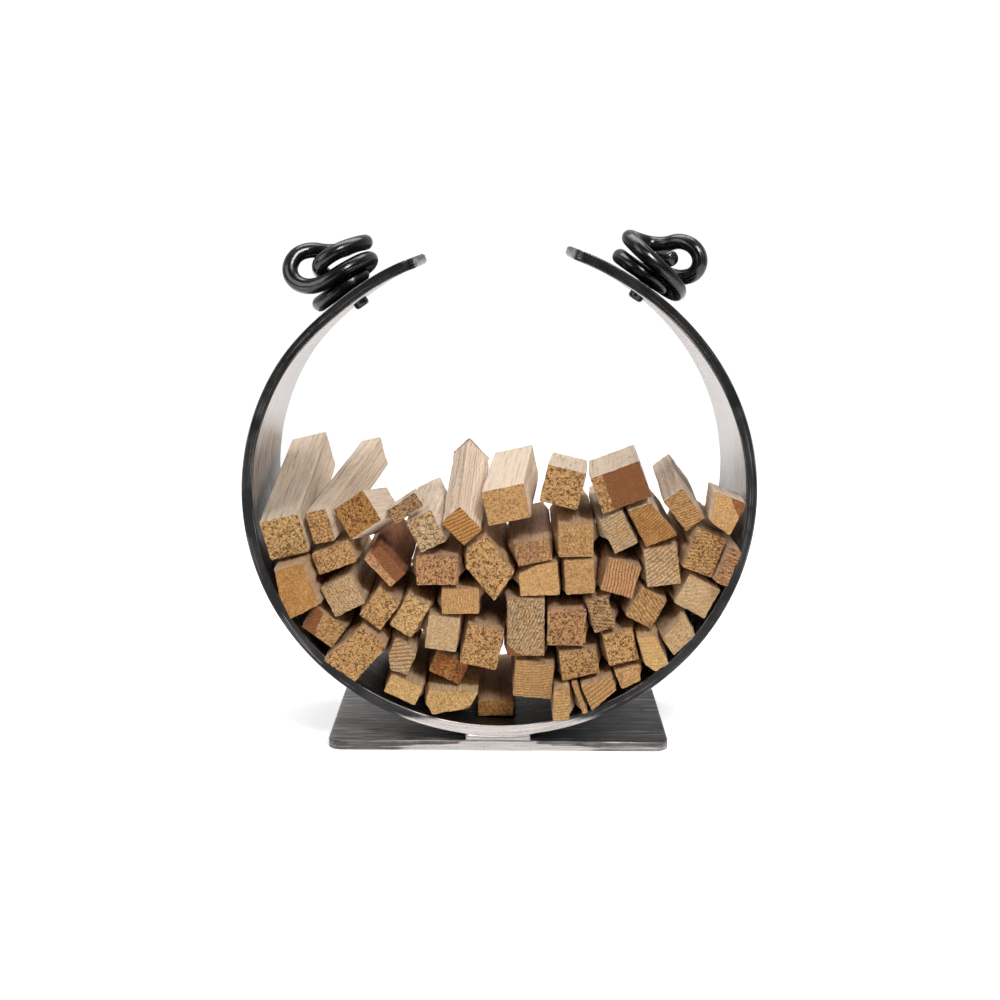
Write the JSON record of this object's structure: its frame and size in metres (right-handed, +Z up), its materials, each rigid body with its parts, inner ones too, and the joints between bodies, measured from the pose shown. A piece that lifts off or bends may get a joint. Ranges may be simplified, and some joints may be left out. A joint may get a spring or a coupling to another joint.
{
  "type": "firewood log rack",
  "caption": "Tabletop firewood rack: open oval ring of wide flat bar on a flat base plate, with knots of round bar at the ring's tips, holding a load of kindling.",
  "frame": {"origin": "middle of the base plate's underside", "axes": "+Z up, +X to the right seen from the front, +Y from the front to the back along the ring's width"},
  "size_m": [0.375, 0.2081, 0.3841],
  "materials": {
    "blackened_steel": "forge black, brushed through along the edges",
    "brushed_plate_steel": "dark top with brushed bright edges",
    "ground_steel": "bright, ground flush",
    "gloss_black_bar": "gloss black with worn streaks",
    "kindling_pale": "rough sawn, pale",
    "kindling_tan": "rough sawn, tan",
    "kindling_orange": "rough sawn, orange",
    "kindling_brown": "rough sawn, brown"
  },
  "bodies": {
    "rack": {"ring_band": "blackened_steel", "base_plate": "brushed_plate_steel", "neck_block": "ground_steel", "left_knot": "gloss_black_bar", "right_knot": "gloss_black_bar"},
    "kindling": {"kindling_01": "kindling_pale", "kindling_02": "kindling_tan", "kindling_03": "kindling_orange", "kindling_04": "kindling_tan", "kindling_05": "kindling_orange", "kindling_06": "kindling_tan", "kindling_07": "kindling_tan", "kindling_08": "kindling_brown", "kindling_09": "kindling_tan", "kindling_10": "kindling_tan", "kindling_11": "kindling_orange", "kindling_12": "kindling_orange", "kindling_13": "kindling_pale", "kindling_14": "kindling_tan", "kindling_15": "kindling_tan", "kindling_16": "kindling_tan", "kindling_17": "kindling_tan", "kindling_18": "kindling_pale", "kindling_19": "kindling_brown", "kindling_20": "kindling_tan", "kindling_21": "kindling_pale", "kindling_22": "kindling_orange", "kindling_23": "kindling_brown", "kindling_24": "kindling_tan", "kindling_25": "kindling_tan", "kindling_26": "kindling_tan", "kindling_27": "kindling_tan", "kindling_28": "kindling_pale", "kindling_29": "kindling_tan", "kindling_30": "kindling_pale", "kindling_31": "kindling_brown", "kindling_32": "kindling_orange", "kindling_33": "kindling_pale", "kindling_34": "kindling_pale", "kindling_35": "kindling_brown", "kindling_36": "kindling_pale", "kindling_37": "kindling_pale", "kindling_38": "kindling_orange", "kindling_39": "kindling_pale", "kindling_40": "kindling_pale", "kindling_41": "kindling_orange", "kindling_42": "kindling_tan", "kindling_43": "kindling_tan", "kindling_44": "kindling_tan", "kindling_45": "kindling_tan", "kindling_46": "kindling_pale", "kindling_47": "kindling_pale", "kindling_48": "kindling_pale", "kindling_49": "kindling_orange", "kindling_50": "kindling_tan", "kindling_51": "kindling_orange", "kindling_52": "kindling_pale", "kindling_53": "kindling_tan"}
  },
  "joints": [
    {"name": "kindling_draw", "type": "slide", "parent": "rack", "child": "kindling", "axis": [0, -1, 0], "range_m": [0, 0.2]}
  ]
}
